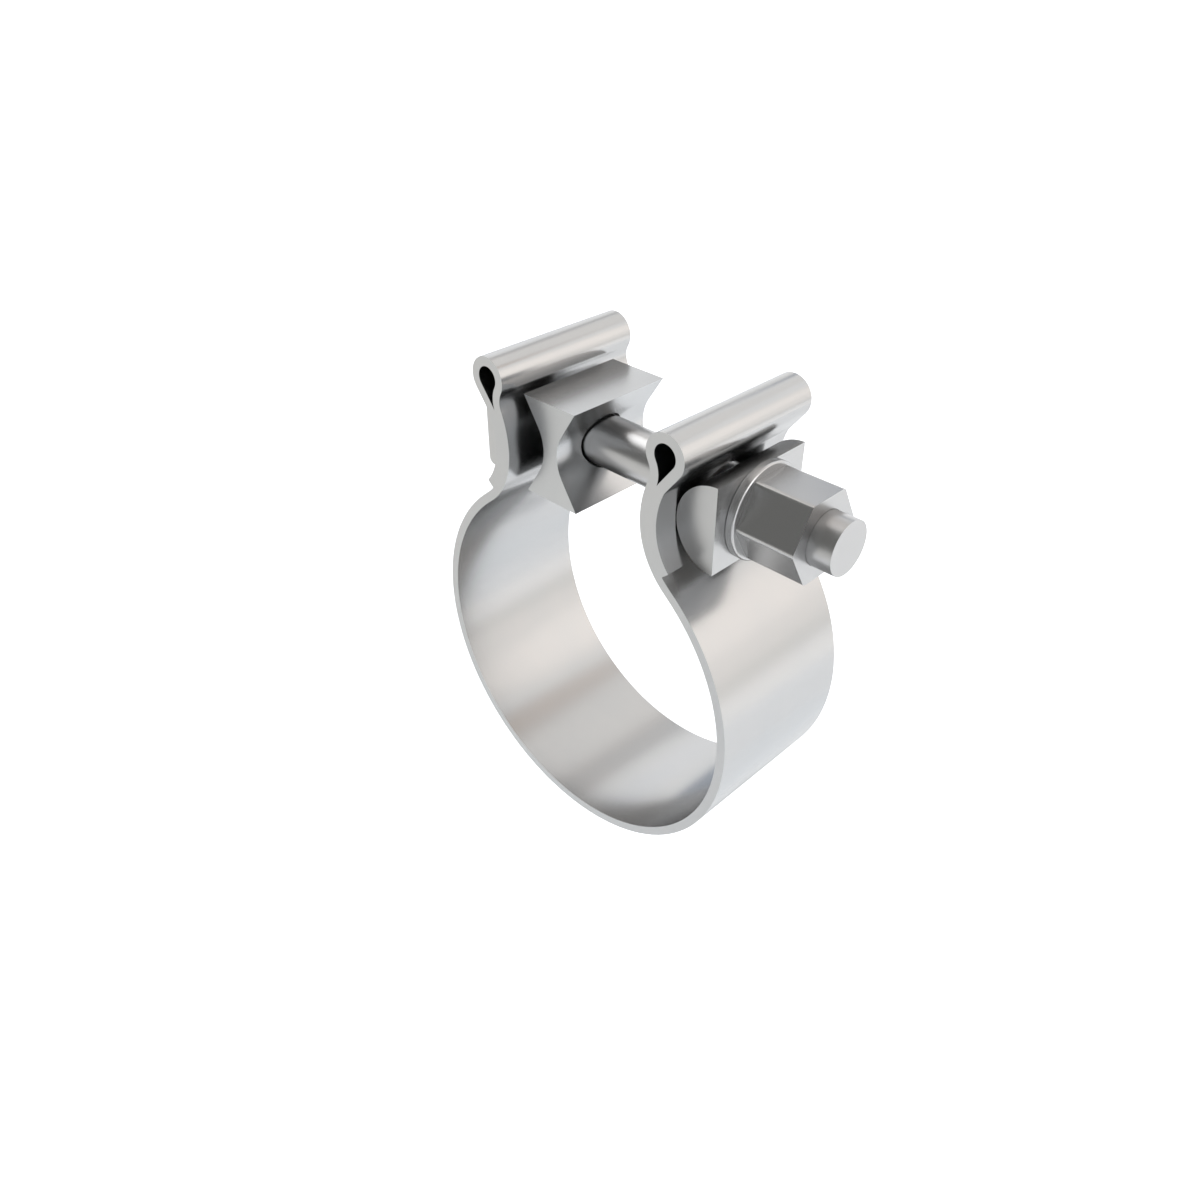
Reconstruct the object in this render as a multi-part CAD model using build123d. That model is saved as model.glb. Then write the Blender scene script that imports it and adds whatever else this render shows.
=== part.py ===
from build123d import *
import os
from math import asin, atan2, cos, degrees, hypot, radians, sin, sqrt

# Open exhaust band clamp. X runs along the T-bolt from its head towards the nut, Y runs along
# the pipe and Z points up. The origin is the centre of the ring. All sizes are in millimetres.

# Band: one strip of stainless sheet, ring, two ears and two rolled loops
ring_bore = 69.85            # inside of the open ring
sheet = 1.75                 # thickness of the strip
band_width = 31.75           # width of the strip along the pipe
bolt_height = 39.4           # bolt axis above the centre of the ring
ear_radius = 15.3            # gap side of an ear below the bolt axis
ear_top_radius = 18.3        # gap side of an ear above the bolt axis
loop_bore_radius = 2.17      # inside of a rolled loop
loop_rise = 12.6             # loop centre above the bolt axis
loop_setback = 4.8           # loop centre behind the crown of its ear
neck_radius = 3.5            # hollow between an ear and its loop
tail_bend_radius = 3.25      # bend where the tail comes off its loop
tail_end_angle = 41.5        # where the doubled tail ends, below the bolt axis round the ear
seam_run = 0.5               # length over which the teardrop opens from a closed seam
ear_hole_radius = 5.6        # clearance hole for the bolt

# Half-round bar that seats in the hollow backs of the ears
bar_radius = 7.9375
bar_length = 22.225
seat_gap = 0.1               # between the bar's crown and the back of the ear

# T-bolt
bolt_radius = 4.7625
bolt_end_reach = 4.5         # bolt end beyond the outer face of the nut
head_edge_radius = 1.2       # rounded long edges of the head

# Reaction block between the ears
block_width = 12.7
block_height = 19.05
block_length = 22.225
block_waist = 3.4            # thinnest place between its two hollow sides
block_hollow_radius = 8.0    # round bottom of a hollow side, between its straight flanks
block_rest_gap = 3.84        # from the left ear's crown to the block's hollow side, at rest
bolt_clearance = 0.4         # drilled holes of the block and the spacer round the bolt

# Flange nut
nut_height = 12.7            # flange and hexagon together
nut_across_flats = 14.2875
nut_edge_radius = 1.0        # rounded edges of the hexagon
flange_radius = 8.63
flange_thickness = 1.58
flange_edge_radius = 0.35    # rounded front edge of the flange
flange_seat_radius = 0.15    # rounded edge of the flange at its seat
thread_clearance = 0.05      # running fit of the nut on the bolt

# Sizes worked out from the above
ring_radius = ring_bore / 2
ear_centre_x = sqrt((ring_radius + ear_radius) ** 2 - bolt_height ** 2)
ear_crown_x = ear_centre_x - ear_radius
ear_back_x = ear_crown_x + 2 * sheet
bar_flat_x = ear_back_x + seat_gap + bar_radius
bolt_end_x = bar_flat_x + nut_height + bolt_end_reach
drilled_radius = bolt_radius + bolt_clearance
block_x = block_rest_gap + block_waist / 2 - ear_crown_x


def polar(centre, radius, angle):
    """Point at an angle in degrees and a distance from a centre."""
    return (centre[0] + radius * cos(radians(angle)), centre[1] + radius * sin(radians(angle)))


def heading(start, end):
    """Direction in degrees from one point to another."""
    return degrees(atan2(end[1] - start[1], end[0] - start[0]))


def arc(centre, radius, start_angle, end_angle):
    """Arc round a centre from one angle to another, in degrees."""
    return CenterArc(centre, radius, start_angle, end_angle - start_angle)


def tangent_centre(first, first_reach, second, second_reach):
    """Centre at given distances from two others, on the gap side of the line between them."""
    apart = hypot(second[0] - first[0], second[1] - first[1])
    along = (first_reach ** 2 - second_reach ** 2 + apart ** 2) / (2 * apart)
    aside = sqrt(first_reach ** 2 - along ** 2)
    line_angle = heading(first, second)
    foot = polar(first, along, line_angle)
    return polar(foot, aside, line_angle + 90)


def ear_and_loop():
    """Edges of the right ear: its outline from the ring and back, and its teardrop hole."""
    ring = (0, 0)
    ear = (ear_centre_x, bolt_height)
    ear_top = (ear_crown_x + ear_top_radius, bolt_height)
    loop = (ear_crown_x + loop_setback, bolt_height + loop_rise)
    loop_radius = loop_bore_radius + sheet
    neck = tangent_centre(ear_top, ear_top_radius + neck_radius, loop, loop_radius + neck_radius)

    # The layers part where the ear turns into the neck, and the tail bends away towards the loop
    part_angle = heading(ear_top, neck)
    bend = polar(ear_top, ear_top_radius - 2 * sheet - tail_bend_radius, part_angle)
    bend_to_loop = hypot(loop[0] - bend[0], loop[1] - bend[1])
    swing = degrees(asin((tail_bend_radius + sheet + loop_bore_radius) / bend_to_loop))
    tail_angle = heading(bend, loop) - swing
    tail_side = tail_angle + 90
    loop_side = tail_angle - 90

    # The tail is sheared square to the sheet
    ring_to_ear = heading(ring, ear)
    tail_end = 180 + tail_end_angle
    neck_to_loop = heading(neck, loop)
    neck_to_ear = heading(neck, ear_top)
    outline = [
        arc(ear, ear_radius - sheet, 180 + ring_to_ear, tail_end),
        Line(polar(ear, ear_radius - sheet, tail_end), polar(ear, ear_radius - 2 * sheet, tail_end)),
        arc(ear, ear_radius - 2 * sheet, tail_end, 180),
        arc(ear_top, ear_top_radius - 2 * sheet, 180, part_angle),
        arc(bend, tail_bend_radius, part_angle, tail_side),
        Line(polar(bend, tail_bend_radius, tail_side), polar(loop, loop_radius, loop_side)),
        arc(loop, loop_radius, loop_side, neck_to_loop + 180),
        arc(neck, neck_radius, neck_to_loop, neck_to_ear),
        arc(ear_top, ear_top_radius, part_angle, 180),
        arc(ear, ear_radius, 180, 180 + ring_to_ear),
    ]

    neck_tip = neck_to_ear + degrees(seam_run / (neck_radius + sheet))
    tail_tip = part_angle - degrees(seam_run / (tail_bend_radius + sheet))
    teardrop = [
        arc(loop, loop_bore_radius, loop_side, neck_to_loop + 180),
        arc(neck, neck_radius + sheet, neck_to_loop, neck_tip),
        Line(polar(neck, neck_radius + sheet, neck_tip), polar(bend, tail_bend_radius + sheet, tail_tip)),
        arc(bend, tail_bend_radius + sheet, tail_tip, tail_side),
        Line(polar(bend, tail_bend_radius + sheet, tail_side), polar(loop, loop_bore_radius, loop_side)),
    ]
    return outline, teardrop, ring_to_ear


def band():
    """The strip: open ring, ears with doubled tails, and loops rolled at both ends."""
    outline, teardrop, ring_to_ear = ear_and_loop()
    mirrored_outline = [edge.mirror(Plane.YZ) for edge in outline]
    mirrored_teardrop = [edge.mirror(Plane.YZ) for edge in teardrop]
    ring_arcs = [
        arc((0, 0), radius, 180 - ring_to_ear, 360 + ring_to_ear)
        for radius in (ring_radius, ring_radius + sheet)
    ]
    profile = Face(
        Wire(outline + mirrored_outline + ring_arcs),
        [Wire(teardrop), Wire(mirrored_teardrop)],
    )
    strip = extrude(Plane.XZ * profile, amount=band_width / 2, both=True)
    for side in (-1, 1):
        hole_x = side * (ear_crown_x + sheet)
        strip -= Pos(hole_x, 0, bolt_height) * Rot(0, 90, 0) * Cylinder(ear_hole_radius, ear_radius)
    return strip


def half_round_section():
    """Half disc with its flat on the local Y axis and its crown on the negative X side."""
    return Circle(bar_radius) - Pos(bar_radius, 0) * Rectangle(2 * bar_radius, 4 * bar_radius)


def half_round_bar(section):
    """Length of bar in the back of the right ear, with its flat away from the ring."""
    bar = extrude(Plane.XZ * section, amount=bar_length / 2, both=True)
    return Pos(bar_flat_x, 0, bolt_height) * bar


def t_bolt():
    """Half-round head in the back of the left ear and a plain shank, in one piece."""
    section = half_round_section()
    section = fillet(section.vertices(), head_edge_radius)
    head = mirror(half_round_bar(section), about=Plane.YZ)
    root_x = -ear_back_x - bar_radius / 2
    shank = extrude(Plane.YZ * Circle(bolt_radius), amount=bolt_end_x - root_x)
    return head + Pos(root_x, 0, bolt_height) * shank


def reaction_block():
    """Block with hollow sides that the ears close on, drilled for the bolt."""
    corner = (block_width / 2, block_height / 2)
    hollow = (block_waist / 2 + block_hollow_radius, 0)
    corner_to_hollow = hypot(hollow[0] - corner[0], hollow[1] - corner[1])
    flank = heading(corner, hollow) - degrees(asin(block_hollow_radius / corner_to_hollow))
    foot_angle = flank - 90
    foot = polar(hollow, block_hollow_radius, foot_angle)
    quarter = [
        Line((0, corner[1]), corner),
        Line(corner, foot),
        arc(hollow, block_hollow_radius, foot_angle, -180),
    ]
    half = quarter + [edge.mirror(Plane.XZ) for edge in quarter]
    section = make_face(half + [edge.mirror(Plane.YZ) for edge in half])
    block = extrude(Plane.XZ * section, amount=block_length / 2, both=True)
    block -= Rot(0, 90, 0) * Cylinder(drilled_radius, block_width)
    return Pos(block_x, 0, bolt_height) * block


def half_round_spacer():
    """Half-round washer that seats in the back of the right ear, drilled for the bolt."""
    bore = Pos(bar_flat_x - bar_radius / 2, 0, bolt_height) * Rot(0, 90, 0)
    return half_round_bar(half_round_section()) - bore * Cylinder(drilled_radius, bar_radius)


def flange_nut():
    """Tall hexagon with a thin round flange, seated on the spacer's flat."""
    seat = Plane(origin=(bar_flat_x, 0, bolt_height), x_dir=(0, 1, 0), z_dir=(1, 0, 0))
    hexagon = RegularPolygon(nut_across_flats / 2, 6, major_radius=False)
    hexagon = fillet(hexagon.vertices(), nut_edge_radius)
    flange = extrude(seat * Circle(flange_radius), amount=flange_thickness)
    for rim, radius in ((0, flange_seat_radius), (-1, flange_edge_radius)):
        circles = flange.edges().filter_by(GeomType.CIRCLE).sort_by(Axis.X)
        flange = fillet(circles[rim], radius)
    body = extrude(seat * hexagon, amount=nut_height)
    bore = extrude(seat * Circle(bolt_radius + thread_clearance), amount=nut_height)
    return flange + body - bore


pieces = {
    "band": band(),
    "t_bolt": t_bolt(),
    "reaction_block": reaction_block(),
    "half_round_spacer": half_round_spacer(),
    "flange_nut": flange_nut(),
}

os.makedirs("parts", exist_ok=True)
for name, piece in pieces.items():
    export_step(piece, f"parts/{name}.step")
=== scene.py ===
import math

import bpy
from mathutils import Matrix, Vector


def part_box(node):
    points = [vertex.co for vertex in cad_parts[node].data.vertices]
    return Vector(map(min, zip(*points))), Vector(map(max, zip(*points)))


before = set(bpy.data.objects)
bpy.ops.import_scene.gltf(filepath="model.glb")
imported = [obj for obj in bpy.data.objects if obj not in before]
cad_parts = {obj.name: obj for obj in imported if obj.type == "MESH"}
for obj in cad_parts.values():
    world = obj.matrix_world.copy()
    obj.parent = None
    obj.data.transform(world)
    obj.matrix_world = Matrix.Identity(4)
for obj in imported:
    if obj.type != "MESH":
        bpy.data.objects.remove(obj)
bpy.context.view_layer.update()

bpy.ops.object.select_all(action="DESELECT")

# Viewpoint
# The clamp is seen from above its near right side, equally steep to all three axes, so the
# bolt, the pipe's direction and the upright edges all slant alike.
view_target = Vector((-0.00896, 0.0, 0.00308))
view_distance = 0.21
towards_camera = Vector((1.0, -1.0, 1.0)).normalized()
field_of_view = math.radians(60.0)
nearest_seen = 0.0042
farthest_seen = 100.0

bpy.ops.object.camera_add(location=view_target + view_distance * towards_camera)
camera = bpy.context.object
camera.name = "viewpoint"
camera.rotation_euler = towards_camera.to_track_quat("Z", "Y").to_euler()
camera.data.lens = camera.data.sensor_width / 2 / math.tan(field_of_view / 2)
camera.data.clip_start = nearest_seen
camera.data.clip_end = farthest_seen
bpy.context.scene.camera = camera


# Band
# One strip of cold-rolled stainless steel, bent to a ring with two ears, its ends rolled into
# loops and doubled back. The mill left a fine grain along the strip, and the slitting shears
# left the narrow edges a little duller, with marks across the thickness.
band_colour = (0.672, 0.669, 0.666, 1.0)
band_smudged_colour = (0.645, 0.65, 0.655, 1.0)
# Painted shade: the share of the band's colour that is kept where other steel mirrors it
band_mirrored_painted_shade = (0.4, 0.4, 0.4, 1.0)
band_roughness = 0.235
band_edge_roughness = 0.31
band_grain_depth = 0.0000012
band_grain_per_metre = (250.0, 9000.0, 250.0)
band_shear_marks_per_metre = (2500.0, 250.0, 2500.0)
band_width_axis = (0.0, 1.0, 0.0)

# Smudges from handling, which all five pieces have alike
smudges_per_metre = 90.0
smudge_starts = 0.2
smudge_full = 0.8
smudge_roughness_change = 0.012

# Cosine of the angle between a face and the axis it was cut across: from the first value up it
# starts to look cut, and from the second up it is all cut
cut_face_starts = 0.93
cut_face_full = 0.97


def feed(tree, socket, value):
    """Links a socket to another node's output, or gives it a plain value."""
    if isinstance(value, bpy.types.NodeSocket):
        tree.links.new(value, socket)
    else:
        socket.default_value = value


def add_node(tree, kind, **values):
    """A node in a node tree, with its sockets fed by name."""
    node = tree.nodes.new(kind)
    for name, value in values.items():
        feed(tree, node.inputs[name.replace("_", " ")], value)
    return node


def calculate(tree, kind, operation, *values):
    """A maths node, of the kind for numbers or for vectors, with its sockets fed in order."""
    node = tree.nodes.new(kind)
    node.operation = operation
    for socket, value in zip(node.inputs, values):
        feed(tree, socket, value)
    return node


def mix_colours(tree, blend, factor, first, second):
    """The colour that two colours mix to."""
    node = tree.nodes.new("ShaderNodeMix")
    node.data_type = "RGBA"
    node.blend_type = blend
    feed(tree, node.inputs["Factor"], factor)
    feed(tree, node.inputs["A"], first)
    feed(tree, node.inputs["B"], second)
    return node.outputs["Result"]


def new_group(name, inputs, output):
    """An empty node group, with its named inputs to read and its one output to feed."""
    tree = bpy.data.node_groups.new(name, "ShaderNodeTree")
    for socket, kind in inputs.items():
        tree.interface.new_socket(socket, in_out="INPUT", socket_type=kind)
    tree.interface.new_socket(output, in_out="OUTPUT", socket_type="NodeSocketFloat")
    start = tree.nodes.new("NodeGroupInput")
    end = tree.nodes.new("NodeGroupOutput")
    return tree, start.outputs, end.inputs[output]


def grain_group():
    """Fine streaks drawn out along a rolled or sawn surface, as a height from 0 to 1."""
    tree, given, result = new_group(
        "drawn_grain", {"Streaks per Metre": "NodeSocketVector"}, "Height",
    )
    place = tree.nodes.new("ShaderNodeTexCoord").outputs["Object"]
    stretched = calculate(
        tree, "ShaderNodeVectorMath", "MULTIPLY", place, given["Streaks per Metre"],
    )
    streaks = add_node(
        tree, "ShaderNodeTexNoise",
        Vector=stretched.outputs["Vector"], Scale=1.0, Detail=3.0, Roughness=0.6,
    )
    feed(tree, result, streaks.outputs["Fac"])
    return tree


def handling_group():
    """Soft cloudy smudges, as from gloves and oil, about a centimetre across, from 0 to 1."""
    tree, given, result = new_group(
        "handling_smudges", {"Smudges per Metre": "NodeSocketFloat"}, "Smudge",
    )
    place = tree.nodes.new("ShaderNodeTexCoord").outputs["Object"]
    cloud = add_node(
        tree, "ShaderNodeTexNoise",
        Vector=place, Scale=given["Smudges per Metre"], Detail=3.0, Roughness=0.55,
    )
    spread = add_node(
        tree, "ShaderNodeMapRange",
        Value=cloud.outputs["Fac"], From_Min=smudge_starts, From_Max=smudge_full,
    )
    feed(tree, result, spread.outputs["Result"])
    return tree


def facing_group():
    """A mask that is 1 on the faces that look along an axis, either way, and 0 elsewhere."""
    tree, given, result = new_group("faces_along_axis", {"Axis": "NodeSocketVector"}, "Mask")
    normal = tree.nodes.new("ShaderNodeNewGeometry").outputs["True Normal"]
    along = calculate(tree, "ShaderNodeVectorMath", "DOT_PRODUCT", normal, given["Axis"])
    either_way = calculate(tree, "ShaderNodeMath", "ABSOLUTE", along.outputs["Value"])
    cut_off = add_node(
        tree, "ShaderNodeMapRange",
        Value=either_way.outputs["Value"], From_Min=cut_face_starts, From_Max=cut_face_full,
    )
    feed(tree, result, cut_off.outputs["Result"])
    return tree


drawn_grain = grain_group()
handling_smudges = handling_group()
faces_along_axis = facing_group()


def place_group(tree, group, values):
    """Places a node group in a material, with values of its own, and gives its output."""
    node = tree.nodes.new("ShaderNodeGroup")
    node.node_tree = group
    for name, value in values.items():
        feed(tree, node.inputs[name], value)
    return node.outputs[0]


def steel(name, colour, smudged_colour, mirrored_painted_shade, roughness, cut_roughness,
          grain_per_metre, mark_depth, cut_axis, cut_group, cut_values):
    """Bright steel with grain along its length, duller cut faces with marks of their own, and painted
    shade where other steel mirrors it.
    """
    material = bpy.data.materials.new(name)
    material.use_nodes = True
    tree = material.node_tree
    surface = tree.nodes["Principled BSDF"].inputs
    feed(tree, surface["Metallic"], 1.0)

    # Handling leaves the tone a little uneven
    smudge = place_group(tree, handling_smudges, {"Smudges per Metre": smudges_per_metre})
    tone = mix_colours(tree, "MIX", smudge, colour, smudged_colour)

    # Painted shade: steel that is seen in other steel has its colour darkened, which paints depth into the
    # hollows
    painted_shade_ray = tree.nodes.new("ShaderNodeLightPath").outputs["Is Glossy Ray"]
    tone_with_painted_shade = mix_colours(tree, "MULTIPLY", painted_shade_ray, tone, mirrored_painted_shade)
    feed(tree, surface["Base Color"], tone_with_painted_shade)

    # Cut faces are duller than drawn or rolled ones, and smudges change the gloss slightly
    cut_face = place_group(tree, faces_along_axis, {"Axis": cut_axis})
    finish = add_node(
        tree, "ShaderNodeMapRange", Value=cut_face, To_Min=roughness, To_Max=cut_roughness,
    )
    handled = add_node(
        tree, "ShaderNodeMapRange",
        Value=smudge, To_Min=-smudge_roughness_change, To_Max=smudge_roughness_change,
    )
    total = calculate(
        tree, "ShaderNodeMath", "ADD", finish.outputs["Result"], handled.outputs["Result"],
    )
    feed(tree, surface["Roughness"], total.outputs["Value"])

    # Grain on the drawn or rolled faces, and the marks of the cut on the cut ones
    grain = place_group(tree, drawn_grain, {"Streaks per Metre": grain_per_metre})
    cut_marks = place_group(tree, cut_group, cut_values)
    height = add_node(tree, "ShaderNodeMix", Factor=cut_face, A=grain, B=cut_marks)
    bump = add_node(
        tree, "ShaderNodeBump",
        Height=height.outputs["Result"], Strength=1.0, Distance=mark_depth,
    )
    feed(tree, surface["Normal"], bump.outputs["Normal"])
    return material


def dress(node, material):
    """Gives a piece its finish."""
    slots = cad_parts[node].data.materials
    slots.clear()
    slots.append(material)


dress("band", steel(
    "rolled_stainless",
    colour=band_colour,
    smudged_colour=band_smudged_colour,
    mirrored_painted_shade=band_mirrored_painted_shade,
    roughness=band_roughness,
    cut_roughness=band_edge_roughness,
    grain_per_metre=band_grain_per_metre,
    mark_depth=band_grain_depth,
    cut_axis=band_width_axis,
    cut_group=drawn_grain,
    cut_values={"Streaks per Metre": band_shear_marks_per_metre},
))

# T-bolt
# Stainless steel bolt in one piece: a half-round head forged across the end of a plain shank.
# The shank is turned, which leaves fine rings round it and on its faced end.
bolt_colour = (0.675, 0.67, 0.665, 1.0)
bolt_smudged_colour = (0.65, 0.65, 0.652, 1.0)
# Painted shade: the share of the bolt's colour that is kept where other steel mirrors it
bolt_mirrored_painted_shade = (0.5, 0.5, 0.5, 1.0)
bolt_roughness = 0.29
bolt_end_roughness = 0.32
bolt_ring_depth = 0.000001
bolt_turning_per_metre = (9000.0, 300.0, 300.0)
bolt_facing_rings_per_metre = 5000.0
bolt_axis = (1.0, 0.0, 0.0)
across_bolt = (0.0, 1.0, 1.0)
spacer_low, spacer_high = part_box("half_round_spacer")
bolt_axis_point = (0.0, 0.0, (spacer_low[2] + spacer_high[2]) / 2)


def rings_group():
    """Rings of uneven width that a facing tool leaves round the bolt's axis, from 0 to 1."""
    tree, given, result = new_group(
        "turned_rings",
        {"Axis Point": "NodeSocketVector", "Rings per Metre": "NodeSocketFloat"}, "Height",
    )
    place = tree.nodes.new("ShaderNodeTexCoord").outputs["Object"]
    from_point = calculate(
        tree, "ShaderNodeVectorMath", "SUBTRACT", place, given["Axis Point"],
    )
    from_axis = calculate(
        tree, "ShaderNodeVectorMath", "MULTIPLY", from_point.outputs["Vector"], across_bolt,
    )
    radius = calculate(tree, "ShaderNodeVectorMath", "LENGTH", from_axis.outputs["Vector"])
    count = calculate(
        tree, "ShaderNodeMath", "MULTIPLY", radius.outputs["Value"], given["Rings per Metre"],
    )
    rings = tree.nodes.new("ShaderNodeTexNoise")
    rings.noise_dimensions = "1D"
    feed(tree, rings.inputs["W"], count.outputs["Value"])
    feed(tree, rings.inputs["Scale"], 1.0)
    feed(tree, rings.inputs["Detail"], 2.0)
    feed(tree, rings.inputs["Roughness"], 0.5)
    feed(tree, result, rings.outputs["Fac"])
    return tree


turned_rings = rings_group()

dress("t_bolt", steel(
    "turned_stainless",
    colour=bolt_colour,
    smudged_colour=bolt_smudged_colour,
    mirrored_painted_shade=bolt_mirrored_painted_shade,
    roughness=bolt_roughness,
    cut_roughness=bolt_end_roughness,
    grain_per_metre=bolt_turning_per_metre,
    mark_depth=bolt_ring_depth,
    cut_axis=bolt_axis,
    cut_group=turned_rings,
    cut_values={"Axis Point": bolt_axis_point, "Rings per Metre": bolt_facing_rings_per_metre},
))

# Reaction block
# Stainless steel bar, drawn with two hollow sides, sawn to length and drilled for the bolt. The
# drawing die left faint lines along it, and the saw left level marks on both ends.
block_colour = (0.685, 0.69, 0.695, 1.0)
block_smudged_colour = (0.66, 0.67, 0.68, 1.0)
# Painted shade: the share of the block's colour that is kept where other steel mirrors it
block_mirrored_painted_shade = (0.55, 0.55, 0.55, 1.0)
block_roughness = 0.25
block_end_roughness = 0.29
block_mark_depth = 0.000001
block_die_lines_per_metre = (5000.0, 250.0, 5000.0)
block_saw_marks_per_metre = (600.0, 250.0, 6000.0)
block_length_axis = (0.0, 1.0, 0.0)

dress("reaction_block", steel(
    "block_stainless",
    colour=block_colour,
    smudged_colour=block_smudged_colour,
    mirrored_painted_shade=block_mirrored_painted_shade,
    roughness=block_roughness,
    cut_roughness=block_end_roughness,
    grain_per_metre=block_die_lines_per_metre,
    mark_depth=block_mark_depth,
    cut_axis=block_length_axis,
    cut_group=drawn_grain,
    cut_values={"Streaks per Metre": block_saw_marks_per_metre},
))

# Half-round spacer
# A length of drawn half-round stainless bar, sawn off at both ends and drilled for the bolt. Its
# flat takes the nut, and its round side seats in the back of the ear.
spacer_colour = (0.672, 0.669, 0.666, 1.0)
spacer_smudged_colour = (0.645, 0.65, 0.655, 1.0)
# Painted shade: the share of the spacer's colour that is kept where other steel mirrors it
spacer_mirrored_painted_shade = (0.6, 0.6, 0.6, 1.0)
spacer_roughness = 0.25
spacer_end_roughness = 0.29
spacer_mark_depth = 0.000001
spacer_die_lines_per_metre = (4500.0, 250.0, 4500.0)
spacer_saw_marks_per_metre = (6000.0, 250.0, 600.0)
spacer_length_axis = (0.0, 1.0, 0.0)

dress("half_round_spacer", steel(
    "spacer_stainless",
    colour=spacer_colour,
    smudged_colour=spacer_smudged_colour,
    mirrored_painted_shade=spacer_mirrored_painted_shade,
    roughness=spacer_roughness,
    cut_roughness=spacer_end_roughness,
    grain_per_metre=spacer_die_lines_per_metre,
    mark_depth=spacer_mark_depth,
    cut_axis=spacer_length_axis,
    cut_group=drawn_grain,
    cut_values={"Streaks per Metre": spacer_saw_marks_per_metre},
))

# Flange nut
# Tall stainless hexagon nut, cold formed in one piece with its round flange. The die left lines
# along its flats, and its end is faced on a lathe.
nut_colour = (0.672, 0.669, 0.666, 1.0)
nut_smudged_colour = (0.648, 0.65, 0.653, 1.0)
# Painted shade: the share of the nut's colour that is kept where other steel mirrors it
nut_mirrored_painted_shade = (0.55, 0.55, 0.55, 1.0)
nut_roughness = 0.24
nut_end_roughness = 0.28
nut_mark_depth = 0.000001
nut_die_lines_per_metre = (250.0, 5000.0, 5000.0)
nut_facing_rings_per_metre = 4000.0
nut_axis = (1.0, 0.0, 0.0)

dress("flange_nut", steel(
    "nut_stainless",
    colour=nut_colour,
    smudged_colour=nut_smudged_colour,
    mirrored_painted_shade=nut_mirrored_painted_shade,
    roughness=nut_roughness,
    cut_roughness=nut_end_roughness,
    grain_per_metre=nut_die_lines_per_metre,
    mark_depth=nut_mark_depth,
    cut_axis=nut_axis,
    cut_group=turned_rings,
    cut_values={"Axis Point": bolt_axis_point, "Rings per Metre": nut_facing_rings_per_metre},
))

# Studio
# A wide pale floor below the clamp under an even white light. Oval diffusers and walls lay bands
# of light on the steel, and grey and black cards give it darker reflections.
floor_height = -0.75
floor_size = 60.0
floor_colour = (0.9, 0.93, 0.96, 1.0)
camera_lift = 0.7
steel_lift = 0.17
surround_colour = (0.98, 0.98, 0.98, 1.0)
pure_white = (1.0, 1.0, 1.0, 1.0)
card_corners = 64
far = 3.0
middle = 1.5
near = 1.2
close = 0.2

bpy.ops.mesh.primitive_plane_add(size=floor_size, location=(0.0, 0.0, floor_height))
floor = bpy.context.object
floor.name = "studio_floor"
floor_paint = bpy.data.materials.new("floor_paint")
floor_paint.use_nodes = True
floor_tree = floor_paint.node_tree
floor_surface = floor_tree.nodes["Principled BSDF"].inputs
feed(floor_tree, floor_surface["Base Color"], floor_colour)
feed(floor_tree, floor_surface["Roughness"], 1.0)
feed(floor_tree, floor_surface["Specular IOR Level"], 0.0)
feed(floor_tree, floor_surface["Emission Color"], pure_white)

# A glow lifts the floor to white for the camera, and a little for the steel that mirrors it. The
# light that falls on the floor is added to the glow, so the clamp's shadow stays on it.
floor_ray = floor_tree.nodes.new("ShaderNodeLightPath").outputs
camera_glow = calculate(
    floor_tree, "ShaderNodeMath", "MULTIPLY", floor_ray["Is Camera Ray"], camera_lift,
)
floor_glow = calculate(
    floor_tree, "ShaderNodeMath", "MULTIPLY_ADD",
    floor_ray["Is Glossy Ray"], steel_lift, camera_glow.outputs["Value"],
)
feed(floor_tree, floor_surface["Emission Strength"], floor_glow.outputs["Value"])
floor.data.materials.append(floor_paint)


def add_card(name, toward, half_span, distance, tone):
    """Oval card or diffuser that faces the clamp, and that the camera doesn't see.

    toward is its azimuth, from +X towards +Y, and its elevation, as seen from the clamp, and
    half_span is half the angle that its width takes up there, and half its height's, in degrees.
    """
    azimuth, elevation = (math.radians(angle) for angle in toward)
    half_width, half_height = (math.radians(angle) for angle in half_span)
    level = math.cos(elevation)
    way = Vector((level * math.cos(azimuth), level * math.sin(azimuth), math.sin(elevation)))
    bpy.ops.mesh.primitive_circle_add(
        vertices=card_corners, fill_type="NGON", radius=distance,
        location=distance * way, rotation=way.to_track_quat("Z", "Y").to_euler(),
    )
    card = bpy.context.object
    card.name = name
    card.scale = (math.tan(half_width), math.tan(half_height), 1.0)
    card.visible_camera = False
    paint = bpy.data.materials.new(name)
    paint.use_nodes = True
    paint.node_tree.nodes.clear()
    glow = add_node(paint.node_tree, "ShaderNodeEmission", Color=(*tone, 1.0), Strength=1.0)
    add_node(paint.node_tree, "ShaderNodeOutputMaterial", Surface=glow.outputs["Emission"])
    card.data.materials.append(paint)


# The large ones, overhead, to the right of the view and to its left
add_card("overhead_card", toward=(0, 90), half_span=(47, 47), distance=far, tone=(0.69, 0.66, 0.635))
add_card("warm_wall", toward=(38, 12), half_span=(26, 26), distance=middle, tone=(1.04, 1.0, 0.965))
add_card("black_card", toward=(-105, 28), half_span=(49, 49), distance=middle, tone=(0.17, 0.17, 0.165))

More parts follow.
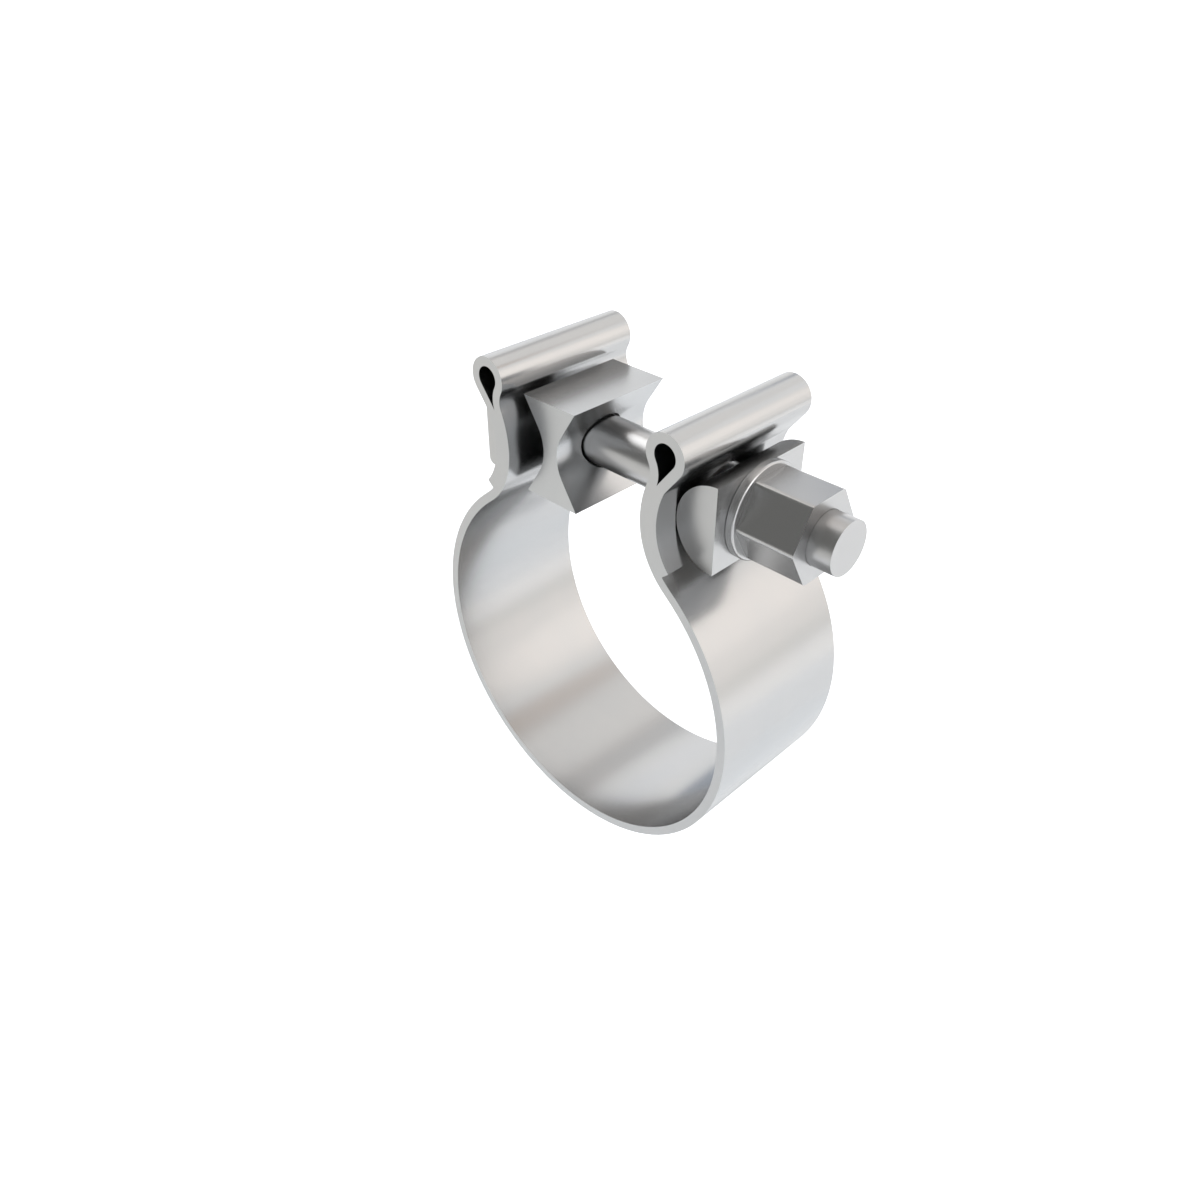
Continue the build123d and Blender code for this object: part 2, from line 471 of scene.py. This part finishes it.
# Smaller ones above the level of the clamp
add_card("top_diffuser", toward=(90, 54), half_span=(17, 17), distance=middle, tone=(0.9, 0.88, 0.86))
add_card("right_diffuser", toward=(4, 30), half_span=(14, 17), distance=near, tone=(2.5, 2.5, 2.5))
add_card("left_diffuser", toward=(180, 38), half_span=(21, 21), distance=near, tone=(2.1, 2.1, 2.1))
add_card("warm_diffuser", toward=(41, 20), half_span=(13, 13), distance=near, tone=(1.2, 1.14, 1.09))
add_card("warm_card", toward=(49, 48.5), half_span=(7, 6), distance=near, tone=(0.68, 0.6, 0.54))

# Behind the clamp, mostly for the streaks across the inside of the ring
add_card("back_dark_card", toward=(127.5, 38), half_span=(4.5, 15), distance=near, tone=(0.63, 0.63, 0.63))
add_card("back_left_diffuser", toward=(143, 22), half_span=(8, 9), distance=near, tone=(0.98, 0.99, 1.01))
add_card("back_grey_card", toward=(114, 28), half_span=(7, 7), distance=near, tone=(0.38, 0.41, 0.46))

# Below the level of the clamp
add_card("horizon_card", toward=(40, -8), half_span=(18, 4), distance=near, tone=(0.87, 0.85, 0.82))
add_card("floor_glow_card", toward=(42, -19), half_span=(18, 5), distance=near, tone=(1.15, 1.13, 1.11))
add_card("back_left_card", toward=(147, -16), half_span=(14, 14), distance=near, tone=(0.36, 0.4, 0.46))
add_card("front_left_card", toward=(-135, -17), half_span=(23, 23), distance=near, tone=(0.79, 0.79, 0.77))
add_card("rim_diffuser", toward=(55, -50), half_span=(13, 13), distance=close, tone=(0.93, 0.96, 0.99))
add_card("inner_grey_card", toward=(107, -55), half_span=(7.5, 9), distance=close, tone=(0.66, 0.67, 0.69))

# The camera sees the surround as white as the floor, and all else sees it a shade greyer
surround = bpy.data.worlds.new("white_surround")
surround.use_nodes = True
surround_tree = surround.node_tree
surround_light = surround_tree.nodes["Background"].inputs
camera_sees = surround_tree.nodes.new("ShaderNodeLightPath").outputs["Is Camera Ray"]
surround_tone = mix_colours(surround_tree, "MIX", camera_sees, surround_colour, pure_white)
feed(surround_tree, surround_light["Color"], surround_tone)
feed(surround_tree, surround_light["Strength"], 1.0)
bpy.context.scene.world = surround
bpy.context.scene.view_settings.view_transform = "Standard"
